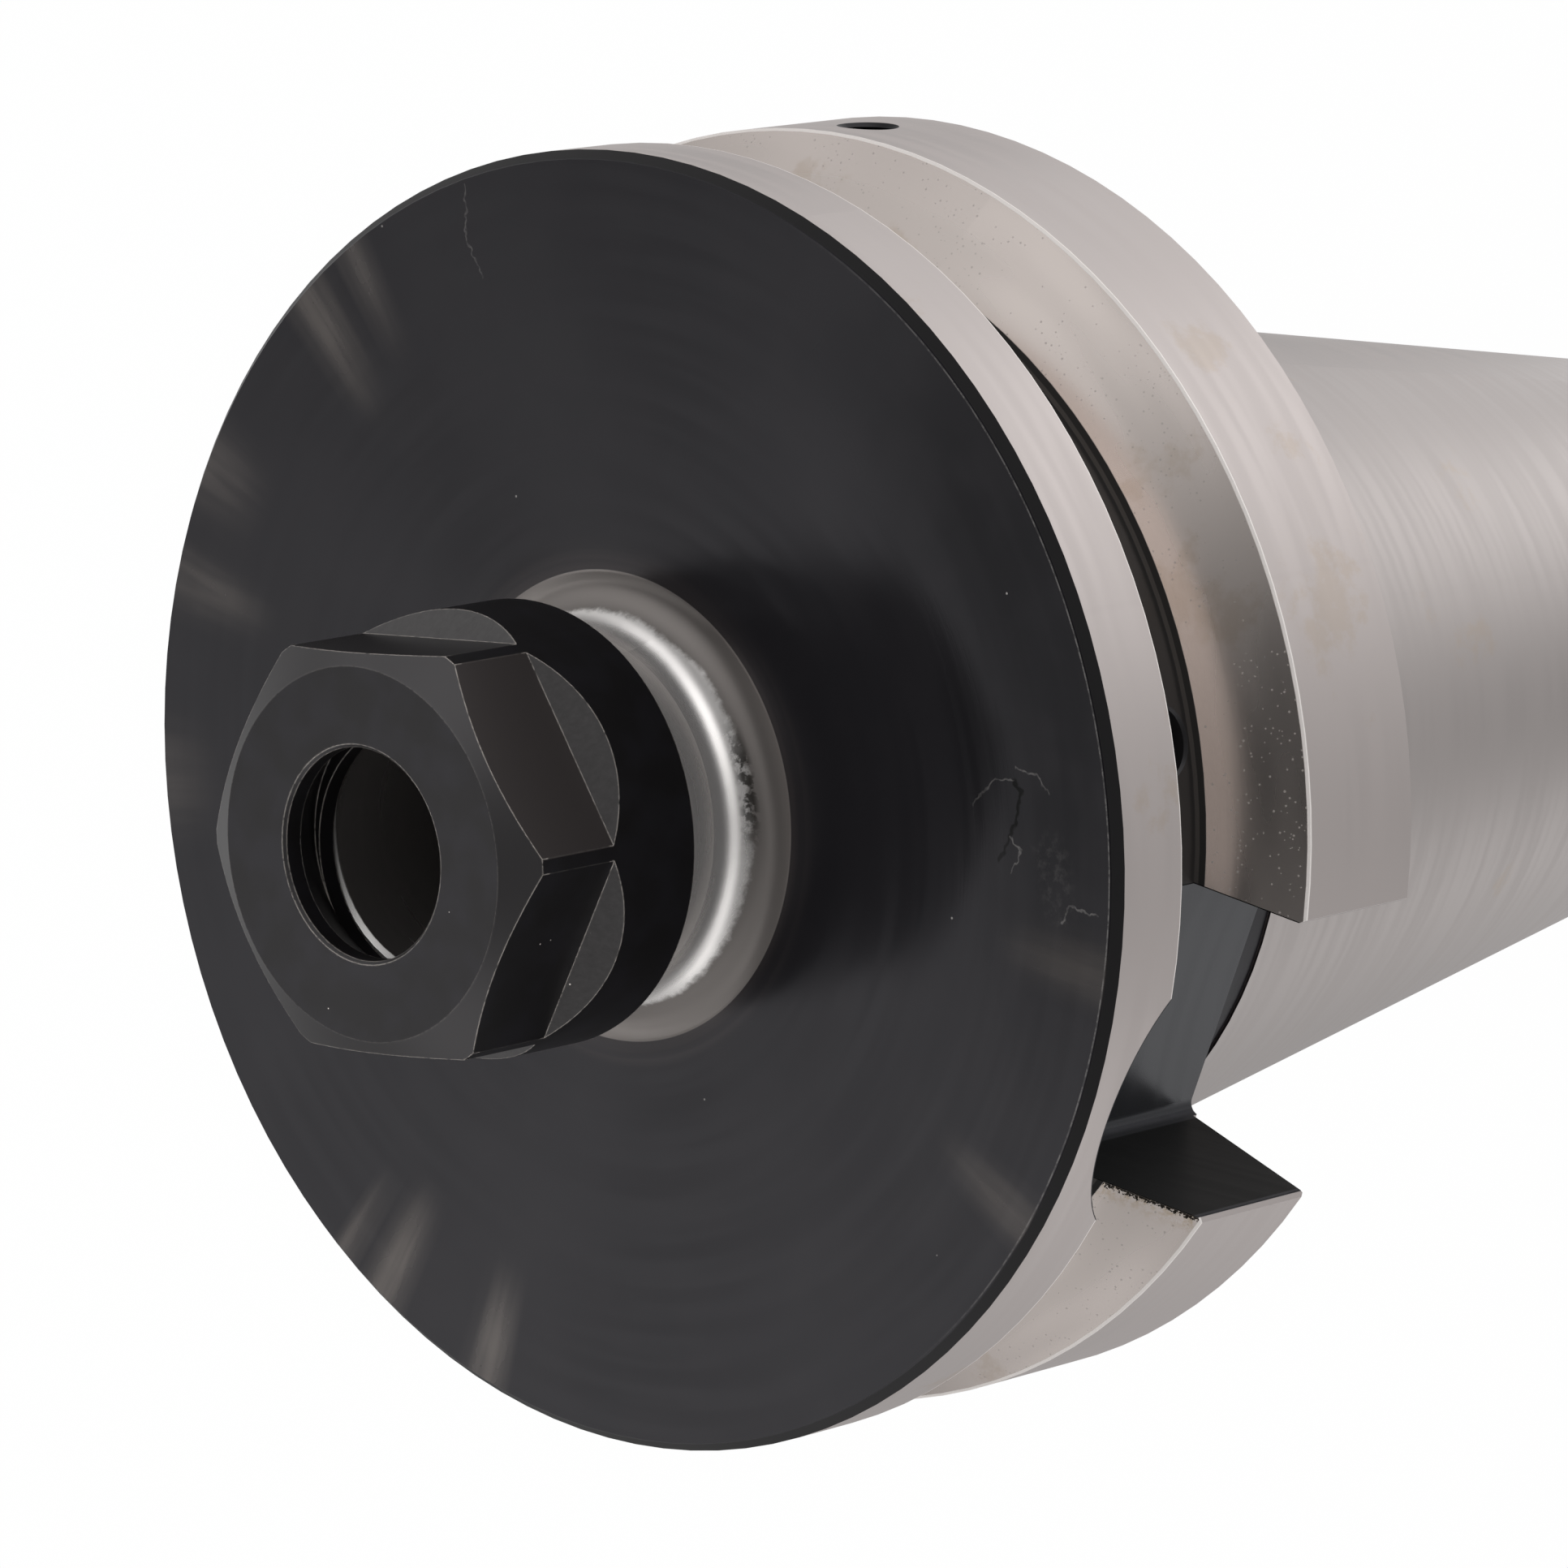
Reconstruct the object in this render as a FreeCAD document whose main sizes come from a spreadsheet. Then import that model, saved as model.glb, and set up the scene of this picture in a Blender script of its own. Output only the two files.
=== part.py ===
import FreeCAD, Part

import math
import os

import Sketcher

# Collet chuck with a steep taper shank, in millimetres.
# The part stands on the small end of its taper. Z runs up the tool axis to the nut,
# and the origin is the centre of the taper's small end face.

# Driving sizes: name, value, what it is.
SIZES = [
    # Taper shank
    ("gauge_dia", 69.85, "taper diameter at the gauge line"),
    ("taper_rise", 7, "taper: 7 on the diameter"),
    ("taper_run", 24, "taper: over 24 of length"),
    ("taper_length", 101.8, "small end to gauge line"),
    ("taper_chamfer", 1.5, "chamfer on the small end"),
    ("stud_core_dia", 20.75, "M24 x 3 retention knob thread, core hole"),
    ("stud_hole_depth", 54, "retention knob hole, depth of its wall"),
    ("pilot_dia", 25, "counterbore that centres the retention knob"),
    ("pilot_depth", 11.5, "depth of that counterbore"),
    ("pilot_chamfer", 0.8, "chamfer at its mouth"),
    # Flange
    ("flange_gap", 3, "gauge line to the rear face of the flange"),
    ("relief_dia", 69.4, "undercut behind the flange"),
    ("relief_fillet", 0.8, "fillet between undercut and flange"),
    ("flange_dia", 100, "flange"),
    ("flange_width", 35, "flange, rear face to front face"),
    ("rear_chamfer", 0.6, "chamfer on the rear rim"),
    ("front_chamfer_radial", 0.7, "chamfer on the front rim, across"),
    ("front_chamfer_axial", 0.78, "chamfer on the front rim, along"),
    ("groove_centre", 23.2, "gauge line to the middle of the gripper groove"),
    ("groove_bottom_dia", 85, "bottom of the gripper groove"),
    ("groove_bottom_width", 6.34, "width of that bottom"),
    ("groove_half_angle", 30, "slope of each groove wall"),
    # Drive key slots
    ("slot_width", 25.7, "drive key slot"),
    ("slot_floor", 35.4, "tool axis to the floor of the slot"),
    ("slot_end", 34.85, "gauge line to the rounded end of the slot"),
    ("slot_fillet", 0.9, "fillet between floor and walls"),
    ("slot_chamfer", 0.5, "broken edge of the slot walls"),
    # Tapped hole in the rear rim and plain hole in the groove
    ("rim_hole_dia", 4.2, "M5 core hole in the rear rim"),
    ("rim_hole_mouth", 4.9, "countersink of that hole"),
    ("rim_hole_depth", 9, "depth of that hole"),
    ("rim_hole_height", 10.4, "gauge line to that hole"),
    ("rim_hole_turn", 20.4, "direction of that hole about the axis, degrees"),
    ("groove_hole_dia", 5.6, "hole in the bottom of the groove"),
    ("groove_hole_mouth", 6.1, "countersink of that hole"),
    ("groove_hole_depth", 7, "depth of that hole"),
    ("groove_hole_turn", -57.6, "direction of that hole about the axis, degrees"),
    # Neck, nose and bores
    ("neck_dia", 28, "neck"),
    ("neck_length", 8.6, "flange face to the shoulder behind the nose thread"),
    ("neck_fillet", 4, "fillet between neck and flange face"),
    ("neck_chamfer", 0.5, "chamfer on that shoulder"),
    ("nose_length", 20.4, "flange face to the end of the nose"),
    ("nose_chamfer", 0.7, "chamfer at the end of the nose"),
    ("thread_dia", 25, "M25 x 1.5 nose thread, over the crests"),
    ("thread_depth", 0.9, "depth of that thread, crest to root"),
    ("undercut_dia", 22.6, "runout groove behind the nose thread"),
    ("undercut_width", 2, "width of that groove"),
    ("mouth_dia", 20, "collet pocket where its cone meets the nose"),
    ("mouth_chamfer", 0.3, "chamfer at that mouth"),
    ("pocket_half_angle", 8, "slope of the collet pocket, degrees"),
    ("tool_bore_dia", 13.2, "bore behind the collet"),
    ("tool_bore_depth", 68, "end of the nose to the end of that bore"),
    ("stop_core_dia", 10.2, "M12 core hole for a stop screw, right through"),
    ("drill_half_angle", 59, "half the point angle of the drills"),
    # Clamping nut
    ("nut_dia", 34, "nut"),
    ("nut_length", 18.24, "nut"),
    ("nut_rear_chamfer", 0.3, "chamfer on the rear edge of the nut"),
    ("hex_flats", 30, "hexagon across flats"),
    ("hex_length", 9.28, "front face to the step behind the hexagon"),
    ("hex_turn", -4.95, "direction of one corner of the hexagon, degrees"),
    ("runout_slope", 45, "slope of the step behind each flat, degrees"),
    ("face_dia", 28.1, "flat front face of the nut"),
    ("face_slope", 30, "chamfer of the hexagon corners, degrees"),
    ("nut_hole_dia", 16, "hole in the front face"),
    ("nut_hole_chamfer", 0.25, "broken edge of that hole"),
    ("lip", 1.7, "straight wall of that hole"),
    ("seat_dia", 20, "wide end of the seat that presses the collet"),
    ("seat_half_angle", 30, "slope of that seat, degrees"),
    ("ring_dia", 19.2, "off-centre extraction ring, inside"),
    ("ring_width", 1.5, "extraction ring, along the axis"),
    ("ring_offset", 0.85, "extraction ring, off centre by"),
    ("ring_turn", -153, "direction of that offset, degrees"),
    ("entry_chamfer", 0.8, "chamfer where the nut starts on the thread"),
    ("thread_clearance", 0.05, "nut thread bore over the nose thread, per side"),
    ("seat_gap", 0.3, "extraction ring to the end of the nose"),
]

SHEET = "Sizes"


class Size:
    """A length or angle: its number, and the expression that binds a property to the sheet."""

    def __init__(self, text, number):
        self.text, self.number = text, number

    def combined(self, sign, other, number):
        return Size(f"({self.text} {sign} {sized(other).text})", number)

    def __add__(self, other):
        return self.combined("+", other, self.number + sized(other).number)

    def __sub__(self, other):
        return self.combined("-", other, self.number - sized(other).number)

    def __mul__(self, other):
        return self.combined("*", other, self.number * sized(other).number)

    def __truediv__(self, other):
        return self.combined("/", other, self.number / sized(other).number)


def sized(value):
    return value if isinstance(value, Size) else Size(str(value), value)


def of_angle(name, angle):
    """sin, cos or tan of a Size in degrees."""
    return Size(f"{name}({angle.text} * 1 deg)", getattr(math, name)(math.radians(angle.number)))


def make_sheet(doc):
    """Write the driving sizes to the spreadsheet and return them by name."""
    sheet = doc.addObject("Spreadsheet::Sheet", SHEET)
    sizes = {}
    for row, (name, value, meaning) in enumerate(SIZES, start=1):
        sheet.set(f"A{row}", meaning)
        sheet.set(f"B{row}", str(value))
        sheet.setAlias(f"B{row}", name)
        sizes[name] = Size(f"{SHEET}.{name}", value)
    doc.recompute()
    return sizes


def new_body(doc, label):
    body = doc.addObject("PartDesign::Body", label)
    body.Label = label
    return body


def origin_feature(body, role):
    return next(item for item in body.Origin.OriginFeatures if item.Role == role)


def new_sketch(body, role, name):
    sketch = body.newObject("Sketcher::SketchObject", name)
    sketch.AttachmentSupport = (origin_feature(body, role), [""])
    sketch.MapMode = "FlatFace"
    return sketch


def constrain(sketch, kind, *args, size=None):
    """Add a constraint, bound to its size where it has one."""
    values = args if size is None else args + (size.number,)
    index = sketch.addConstraint(Sketcher.Constraint(kind, *values))
    if size is not None:
        sketch.setExpression(f"Constraints[{index}]", size.text)
    return index


def pin_vertex(sketch, line, x, y):
    """Hold the start of a line at x, y from the sketch's origin."""
    for kind, axis, size in (("DistanceX", -2, x), ("DistanceY", -1, y)):
        if size.number == 0:
            constrain(sketch, "PointOnObject", line, 1, axis)
        else:
            constrain(sketch, kind, -1, 1, line, 1, size=size)


def draw_outline(sketch, points):
    """A closed outline of straight lines through points given as pairs of Size."""
    count = len(points)
    corners = [FreeCAD.Vector(x.number, y.number, 0) for x, y in points]
    for i in range(count):
        sketch.addGeometry(Part.LineSegment(corners[i], corners[(i + 1) % count]), False)
    for i in range(count):
        constrain(sketch, "Coincident", i, 2, (i + 1) % count, 1)
    for i, (x, y) in enumerate(points):
        pin_vertex(sketch, i, x, y)


def draw_circle(sketch, x, y, diameter):
    centre = FreeCAD.Vector(x.number, y.number, 0)
    sketch.addGeometry(Part.Circle(centre, FreeCAD.Vector(0, 0, 1), diameter.number / 2), False)
    for kind, axis, size in (("DistanceX", -2, x), ("DistanceY", -1, y)):
        if size.number == 0:
            constrain(sketch, "PointOnObject", 0, 3, axis)
        else:
            constrain(sketch, kind, -1, 1, 0, 3, size=size)
    constrain(sketch, "Diameter", 0, size=diameter)


def revolve(doc, body, sketch, name):
    feature = body.newObject("PartDesign::Revolution", name)
    feature.Profile = sketch
    feature.ReferenceAxis = (sketch, ["V_Axis"])
    feature.Angle = 360
    doc.recompute()
    return feature


def check_cut(doc, body, before, name):
    """Recompute, and stop if a cut took nothing away."""
    doc.recompute()
    if body.Shape.Volume > before - 1e-3:
        raise RuntimeError(f"{name} cuts nothing")


def pick_edges(shape, wanted):
    """Names of the edges whose two ends and middle all pass the test."""
    names = []
    for index, edge in enumerate(shape.Edges, start=1):
        middle = edge.valueAt((edge.FirstParameter + edge.LastParameter) / 2)
        points = [vertex.Point for vertex in edge.Vertexes] + [middle]
        if all(wanted(point) for point in points):
            names.append(f"Edge{index}")
    return names


def dress_edges(doc, body, kind, name, wanted, size):
    """Fillet or chamfer the edges that pass the test."""
    base = body.Tip
    names = pick_edges(base.Shape, wanted)
    if not names:
        raise RuntimeError(f"{name} finds no edge")
    feature = body.newObject(f"PartDesign::{kind}", name)
    feature.Base = (base, names)
    feature.setExpression("Radius" if kind == "Fillet" else "Size", size.text)
    doc.recompute()
    return feature


def near(a, b, tolerance=1e-4):
    return abs(a - b) < tolerance


def on_circle(radius, height):
    """Test for points of the circle about Z with this radius, at this height."""
    return lambda p: near(math.hypot(p.x, p.y), radius.number) and near(p.z, height.number)


def swung_sketch(body, name, swing):
    """A sketch on the XZ plane, swung round the tool axis, which is the sketch's own Y."""
    sketch = new_sketch(body, "XZ_Plane", name)
    sketch.AttachmentOffset = FreeCAD.Placement(
        FreeCAD.Vector(0, 0, 0), FreeCAD.Rotation(FreeCAD.Vector(0, 1, 0), swing.number))
    sketch.setExpression("AttachmentOffset.Rotation.Angle", swing.text)
    return sketch


def radial_hole(doc, body, name, turn, height, start, diameter, mouth, depth, point):
    """A drilled and countersunk hole that points at the tool axis."""
    before = body.Shape.Volume
    swing = turn + 90
    sketch = swung_sketch(body, f"{name}_sketch", swing)
    sketch.setExpression("AttachmentOffset.Base.x", (start * of_angle("sin", swing)).text)
    sketch.setExpression("AttachmentOffset.Base.z", (start * of_angle("cos", swing)).text)
    draw_circle(sketch, sized(0), height, diameter)
    doc.recompute()
    hole = body.newObject("PartDesign::Hole", name)
    hole.Profile = sketch
    doc.recompute()
    hole.ThreadType = 0
    hole.DepthType = "Dimension"
    hole.HoleCutType = "Countersink"
    hole.HoleCutCountersinkAngle = 90
    hole.DrillPoint = "Angled"
    hole.setExpression("Diameter", diameter.text)
    hole.setExpression("Depth", depth.text)
    hole.setExpression("HoleCutDiameter", mouth.text)
    hole.setExpression("DrillPointAngle", (point * 2).text)
    check_cut(doc, body, before, name)


def holder_places(s):
    """Heights and radii of the holder that more than one feature needs."""
    p = {"gauge": s["taper_length"]}
    p["rear"] = p["gauge"] + s["flange_gap"]
    p["face"] = p["rear"] + s["flange_width"]
    p["groove"] = p["gauge"] + s["groove_centre"]
    p["shoulder"] = p["face"] + s["neck_length"]
    p["nose"] = p["face"] + s["nose_length"]
    p["rim_radius"] = s["flange_dia"] / 2
    p["core_radius"] = s["thread_dia"] / 2 - s["thread_depth"]
    return p


def taper_outline(s, p):
    """Small end of the taper up to the rear face of the flange."""
    slope = s["taper_rise"] / s["taper_run"] / 2
    small_radius = s["gauge_dia"] / 2 - s["taper_length"] * slope
    zero = sized(0)
    return [
        (s["pilot_dia"] / 2 + s["pilot_chamfer"], zero),
        (small_radius - s["taper_chamfer"], zero),
        (small_radius + s["taper_chamfer"] * slope, s["taper_chamfer"]),
        (s["gauge_dia"] / 2, p["gauge"]),
        (s["relief_dia"] / 2, p["gauge"]),
        (s["relief_dia"] / 2, p["rear"]),
    ]


def flange_outline(s, p):
    """Rear rim, gripper groove, front rim and front face."""
    rim, bottom = p["rim_radius"], s["groove_bottom_dia"] / 2
    half_bottom = s["groove_bottom_width"] / 2
    half_top = half_bottom + (rim - bottom) * of_angle("tan", s["groove_half_angle"])
    return [
        (rim - s["rear_chamfer"], p["rear"]),
        (rim, p["rear"] + s["rear_chamfer"]),
        (rim, p["groove"] - half_top),
        (bottom, p["groove"] - half_bottom),
        (bottom, p["groove"] + half_bottom),
        (rim, p["groove"] + half_top),
        (rim, p["face"] - s["front_chamfer_axial"]),
        (rim - s["front_chamfer_radial"], p["face"]),
    ]


def nose_outline(s, p):
    """Neck, runout groove and the root of the nose thread."""
    neck, undercut = s["neck_dia"] / 2, s["undercut_dia"] / 2
    runout = p["shoulder"] + s["undercut_width"]
    return [
        (neck, p["face"]),
        (neck, p["shoulder"] - s["neck_chamfer"]),
        (neck - s["neck_chamfer"], p["shoulder"]),
        (undercut, p["shoulder"]),
        (undercut, runout),
        (p["core_radius"], runout + (p["core_radius"] - undercut)),
        (p["core_radius"], p["nose"] - s["nose_chamfer"]),
        (p["core_radius"] - s["nose_chamfer"], p["nose"]),
    ]


def bore_outline(s, p):
    """Collet pocket, tool bore, stop screw hole and retention knob hole, from the nose down."""
    mouth, tool, stop = s["mouth_dia"] / 2, s["tool_bore_dia"] / 2, s["stop_core_dia"] / 2
    stud, pilot = s["stud_core_dia"] / 2, s["pilot_dia"] / 2
    slope = of_angle("tan", s["pocket_half_angle"])
    drill = of_angle("tan", s["drill_half_angle"])
    tool_end = p["nose"] - s["tool_bore_depth"]
    return [
        (mouth + s["mouth_chamfer"], p["nose"]),
        (mouth - s["mouth_chamfer"] * slope, p["nose"] - s["mouth_chamfer"]),
        (tool, p["nose"] - (mouth - tool) / slope),
        (tool, tool_end),
        (stop, tool_end - (tool - stop) / drill),
        (stop, s["stud_hole_depth"] + (stud - stop) / drill),
        (stud, s["stud_hole_depth"]),
        (stud, s["pilot_depth"]),
        (pilot, s["pilot_depth"]),
        (pilot, s["pilot_chamfer"]),
    ]


def repeat_round(doc, body, originals, name, count=2):
    """Repeat cuts evenly round the tool axis."""
    before = body.Shape.Volume
    ring = body.newObject("PartDesign::PolarPattern", name)
    ring.Originals = originals
    ring.Axis = (origin_feature(body, "Z_Axis"), [""])
    ring.Angle = 360
    ring.Occurrences = count
    body.Tip = ring
    check_cut(doc, body, before, name)


def cut_key_slots(doc, body, s, p):
    """Two drive key slots, open to the rear face, with a rounded end in the front rim."""
    before = body.Shape.Volume
    half = s["slot_width"] / 2
    low, centre = p["gauge"], p["gauge"] + s["slot_end"] - half
    sketch = new_sketch(body, "XZ_Plane", "slot_sketch")
    sketch.setExpression("AttachmentOffset.Base.z", s["slot_floor"].text)
    vector = FreeCAD.Vector
    h, z0, z1 = half.number, low.number, centre.number
    circle = Part.Circle(vector(0, z1, 0), vector(0, 0, 1), h)
    sketch.addGeometry(Part.LineSegment(vector(-h, z0, 0), vector(h, z0, 0)), False)
    sketch.addGeometry(Part.LineSegment(vector(h, z0, 0), vector(h, z1, 0)), False)
    sketch.addGeometry(Part.ArcOfCircle(circle, 0, math.pi), False)
    sketch.addGeometry(Part.LineSegment(vector(-h, z1, 0), vector(-h, z0, 0)), False)
    constrain(sketch, "Coincident", 0, 2, 1, 1)
    constrain(sketch, "Coincident", 3, 2, 0, 1)
    constrain(sketch, "Tangent", 1, 2, 2, 1)
    constrain(sketch, "Tangent", 2, 2, 3, 1)
    constrain(sketch, "Horizontal", 0)
    constrain(sketch, "Vertical", 1)
    constrain(sketch, "Vertical", 3)
    constrain(sketch, "PointOnObject", 2, 3, -2)
    constrain(sketch, "Radius", 2, size=half)
    constrain(sketch, "DistanceY", -1, 1, 2, 3, size=centre)
    constrain(sketch, "DistanceY", -1, 1, 0, 1, size=low)
    slot = body.newObject("PartDesign::Pocket", "slot")
    slot.Profile = sketch
    slot.Type = "ThroughAll"
    slot.Reversed = True
    check_cut(doc, body, before, "slot")
    repeat_round(doc, body, [slot], "slot_pair")


def round_slot_corners(doc, body, s, p):
    """Round the corners between the floor and the walls of both slots."""
    half, floor = s["slot_width"].number / 2, s["slot_floor"].number
    centre = (p["gauge"] + s["slot_end"]).number - half

    def floor_edge(point):
        straight = near(abs(point.x), half) and point.z < centre + 1e-3
        rounded = near(math.hypot(point.x, point.z - centre), half) and point.z > centre - 1e-3
        return near(abs(point.y), floor) and (straight or rounded)

    dress_edges(doc, body, "Fillet", "slot_corners", floor_edge, s["slot_fillet"])


def break_slot_edges(doc, body, s, p):
    """Chamfer the slot walls where they meet the rear face and the rear rim."""
    half, chamfer, rim = s["slot_width"] / 2, s["slot_chamfer"], p["rim_radius"]
    zero = sized(0)
    wide = half + chamfer * 2
    before = body.Shape.Volume
    sketch = new_sketch(body, "XZ_Plane", "slot_rear_sketch")
    sketch.setExpression("AttachmentOffset.Base.z", (s["slot_floor"] + s["slot_fillet"]).text)
    bend, low = p["rear"] + chamfer, p["rear"] - chamfer
    draw_outline(sketch, [(zero - wide, low), (wide, low), (half, bend), (zero - half, bend)])
    rear_edge = body.newObject("PartDesign::Pocket", "slot_rear_edge")
    rear_edge.Profile = sketch
    rear_edge.Type = "ThroughAll"
    rear_edge.Reversed = True
    check_cut(doc, body, before, "slot_rear_edge")
    before = body.Shape.Volume
    corner = Size(f"sqrt({rim.text}^2 - {half.text}^2)", math.sqrt(rim.number**2 - half.number**2))
    inner, outer = zero - (corner - chamfer), zero - (corner + chamfer)
    sketch = new_sketch(body, "XY_Plane", "slot_rim_sketch")
    sketch.setExpression("AttachmentOffset.Base.z", p["groove"].text)
    draw_outline(sketch, [(zero - half, inner), (half, inner), (wide, outer), (zero - wide, outer)])
    rim_edge = body.newObject("PartDesign::Pocket", "slot_rim_edge")
    rim_edge.Profile = sketch
    rim_edge.Type = "Length"
    rim_edge.setExpression("Length", s["groove_centre"].text)
    check_cut(doc, body, before, "slot_rim_edge")
    repeat_round(doc, body, [rear_edge, rim_edge], "slot_edge_pair")


def build_holder(doc, s, p):
    """Taper shank, flange, neck and collet nose, turned from one bar."""
    body = new_body(doc, "holder_body")
    sketch = new_sketch(body, "XZ_Plane", "holder_section")
    draw_outline(sketch, taper_outline(s, p) + flange_outline(s, p) + nose_outline(s, p)
                 + bore_outline(s, p))
    revolve(doc, body, sketch, "holder_turned")
    dress_edges(doc, body, "Fillet", "neck_corner",
                on_circle(s["neck_dia"] / 2, p["face"]), s["neck_fillet"])
    dress_edges(doc, body, "Fillet", "relief_corner",
                on_circle(s["relief_dia"] / 2, p["rear"]), s["relief_fillet"])
    cut_key_slots(doc, body, s, p)
    round_slot_corners(doc, body, s, p)
    break_slot_edges(doc, body, s, p)
    radial_hole(doc, body, "rim_hole", s["rim_hole_turn"], p["gauge"] + s["rim_hole_height"],
                p["rim_radius"], s["rim_hole_dia"], s["rim_hole_mouth"], s["rim_hole_depth"],
                s["drill_half_angle"])
    radial_hole(doc, body, "groove_hole", s["groove_hole_turn"], p["groove"],
                s["groove_bottom_dia"] / 2, s["groove_hole_dia"], s["groove_hole_mouth"],
                s["groove_hole_depth"], s["drill_half_angle"])
    return body


def nut_places(s):
    """Heights inside the nut, from its rear face, and the radius of its thread bore."""
    hole = s["nut_hole_dia"] / 2
    n = {"front": s["nut_length"], "step": s["nut_length"] - s["hex_length"]}
    n["lip"] = n["front"] - s["lip"]
    n["seat"] = n["lip"] - (s["seat_dia"] / 2 - hole) / of_angle("tan", s["seat_half_angle"])
    n["ring"] = n["seat"] - s["ring_width"]
    n["bore_radius"] = s["thread_dia"] / 2 + s["thread_clearance"]
    return n


def nut_outline(s, n):
    outer, hole, bore = s["nut_dia"] / 2, s["nut_hole_dia"] / 2, n["bore_radius"]
    drop = (outer - s["face_dia"] / 2) * of_angle("tan", s["face_slope"])
    zero = sized(0)
    return [
        (bore + s["entry_chamfer"], zero),
        (outer - s["nut_rear_chamfer"], zero),
        (outer, s["nut_rear_chamfer"]),
        (outer, n["front"] - drop),
        (s["face_dia"] / 2, n["front"]),
        (hole + s["nut_hole_chamfer"], n["front"]),
        (hole, n["front"] - s["nut_hole_chamfer"]),
        (hole, n["lip"]),
        (s["seat_dia"] / 2, n["seat"]),
        (hole, n["seat"]),
        (hole, n["ring"]),
        (bore, n["ring"]),
        (bore, s["entry_chamfer"]),
    ]


def cut_hexagon(doc, body, s, n):
    """Mill six flats from the front down to the step."""
    before = body.Shape.Volume
    sketch = new_sketch(body, "XY_Plane", "hexagon_sketch")
    sketch.setExpression("AttachmentOffset.Base.z", n["front"].text)
    corner = s["hex_flats"] / 2 / of_angle("cos", Size("30", 30))
    places = [s["hex_turn"] + 60 * i for i in range(6)]
    draw_outline(sketch, [(corner * of_angle("cos", a), corner * of_angle("sin", a))
                          for a in places])
    sketch.addGeometry(Part.Circle(FreeCAD.Vector(0, 0, 0), FreeCAD.Vector(0, 0, 1),
                                   s["nut_dia"].number), False)
    constrain(sketch, "Coincident", 6, 3, -1, 1)
    constrain(sketch, "Radius", 6, size=s["nut_dia"])
    flats = body.newObject("PartDesign::Pocket", "hexagon")
    flats.Profile = sketch
    flats.Type = "Length"
    flats.setExpression("Length", s["hex_length"].text)
    check_cut(doc, body, before, "hexagon")


def slope_steps(doc, body, s, n):
    """Run each flat out to the outside on a slope, as the milling cutter leaves it."""
    before = body.Shape.Volume
    sketch = swung_sketch(body, "runout_sketch", s["hex_turn"] + 30)
    flat = s["hex_flats"] / 2
    outside = s["nut_dia"] - flat
    drop = (outside - flat) * of_angle("tan", s["runout_slope"])
    draw_outline(sketch, [(flat, n["step"]), (outside, n["step"] - drop),
                          (outside, n["step"] + drop)])
    runout = body.newObject("PartDesign::Pocket", "runout")
    runout.Profile = sketch
    runout.Type = "ThroughAll"
    runout.Midplane = True
    check_cut(doc, body, before, "runout")
    repeat_round(doc, body, [runout], "runout_ring", 6)


def cut_extraction_ring(doc, body, s, n):
    """Bore the ring behind the seat off centre, so that one side reaches into a collet's groove."""
    before = body.Shape.Volume
    sketch = new_sketch(body, "XY_Plane", "ring_sketch")
    sketch.setExpression("AttachmentOffset.Base.z", n["seat"].text)
    turn = s["ring_turn"]
    draw_circle(sketch, s["ring_offset"] * of_angle("cos", turn),
                s["ring_offset"] * of_angle("sin", turn), s["ring_dia"])
    ring = body.newObject("PartDesign::Pocket", "extraction_ring")
    ring.Profile = sketch
    ring.Type = "Length"
    ring.setExpression("Length", s["ring_width"].text)
    check_cut(doc, body, before, "extraction_ring")


def build_nut(doc, s, p):
    """Hexagon clamping nut, seated so that its extraction ring just clears the nose."""
    n = nut_places(s)
    body = new_body(doc, "clamping_nut")
    sketch = new_sketch(body, "XZ_Plane", "nut_section")
    draw_outline(sketch, nut_outline(s, n))
    revolve(doc, body, sketch, "nut_turned")
    cut_hexagon(doc, body, s, n)
    slope_steps(doc, body, s, n)
    cut_extraction_ring(doc, body, s, n)
    body.setExpression("Placement.Base.z", (p["nose"] + s["seat_gap"] - n["ring"]).text)
    doc.recompute()
    return body


def check_document(doc, bodies):
    """Stop unless every feature was built and every sub-part is one valid solid."""
    for item in doc.Objects:
        if "Invalid" in item.State or "Error" in item.State:
            raise RuntimeError(f"{item.Label} failed: {item.State}")
    for body in bodies:
        shape = body.Shape
        if shape.isNull() or not shape.isValid() or len(shape.Solids) != 1:
            raise RuntimeError(f"{body.Label} is not one valid solid")


def main():
    doc = FreeCAD.newDocument("collet_chuck")
    sizes = make_sheet(doc)
    places = holder_places(sizes)
    bodies = [build_holder(doc, sizes, places), build_nut(doc, sizes, places)]
    doc.recompute()
    check_document(doc, bodies)
    os.makedirs("parts", exist_ok=True)
    for body in bodies:
        body.Shape.exportStep(f"parts/{body.Label}.step")


main()
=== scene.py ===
# %% [markdown]
# Collet chuck with a steep taper shank
#
# The chuck stands on the small end of its taper, with the tool axis along Z. Its solids come
# ready made in the frame: the turned holder, and the clamping nut that turns on its nose. This
# lesson leaves their shapes alone and makes what a solid can't say: which surfaces were ground
# bright, which were blackened, how the turning marks run, and where handling has worn them.

# %% Load the frame
import math

import bmesh
import bpy
from mathutils import Matrix, Vector


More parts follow.
